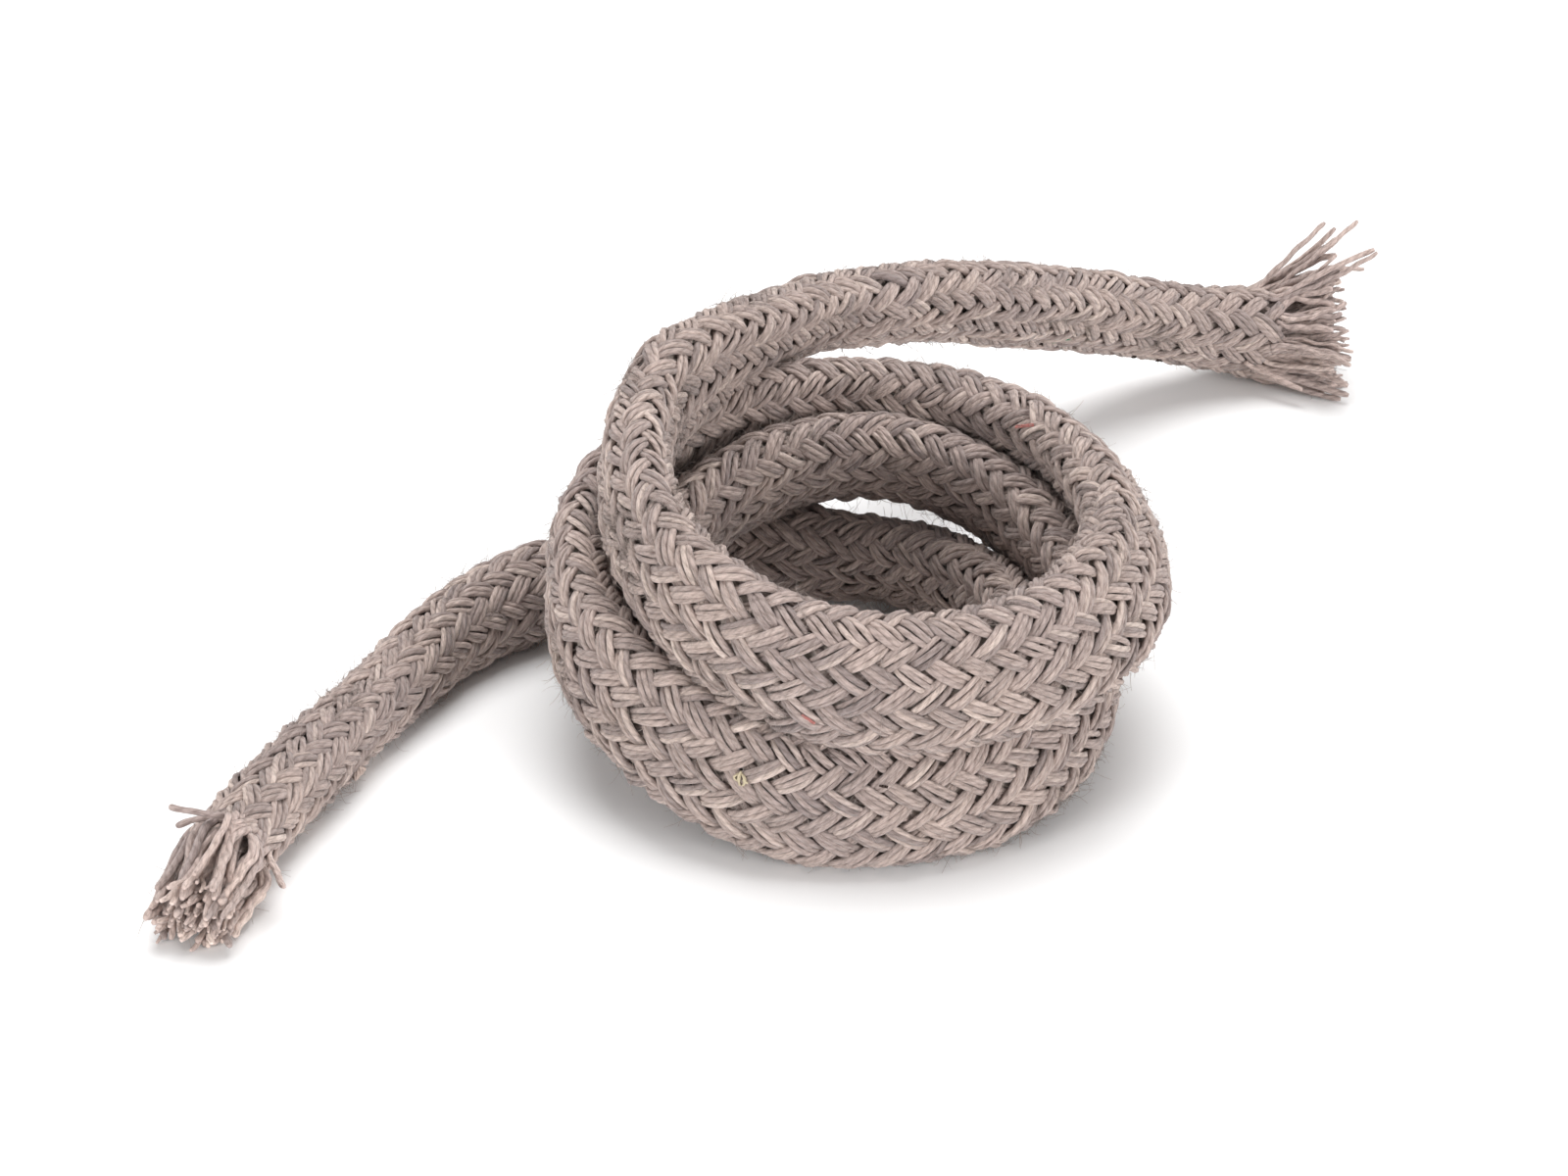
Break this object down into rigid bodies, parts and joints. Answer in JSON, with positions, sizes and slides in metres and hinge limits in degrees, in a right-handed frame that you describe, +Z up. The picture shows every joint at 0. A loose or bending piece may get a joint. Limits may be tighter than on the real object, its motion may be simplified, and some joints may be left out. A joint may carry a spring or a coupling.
{
  "type": "coiled cord",
  "caption": "Short length of soft braided cotton cord lying in a loose flat coil, with both cut ends frayed.",
  "frame": {"origin": "middle of the bounding box in plan, on the surface that the coil lies on", "axes": "+Z up; -Y towards the front, where the low frayed end points; +X towards the side where the other end comes down behind the coil"},
  "size_m": [0.207, 0.2086, 0.056],
  "materials": {
    "cord": "braided cotton yarn, matt, slightly hairy",
    "yarn": "loose cotton yarn, matt"
  },
  "bodies": {
    "root": {"coil": "cord", "front_tail": "cord", "back_tail": "cord", "front_frayed_end": "yarn", "back_frayed_end": "yarn"}
  },
  "joints": []
}
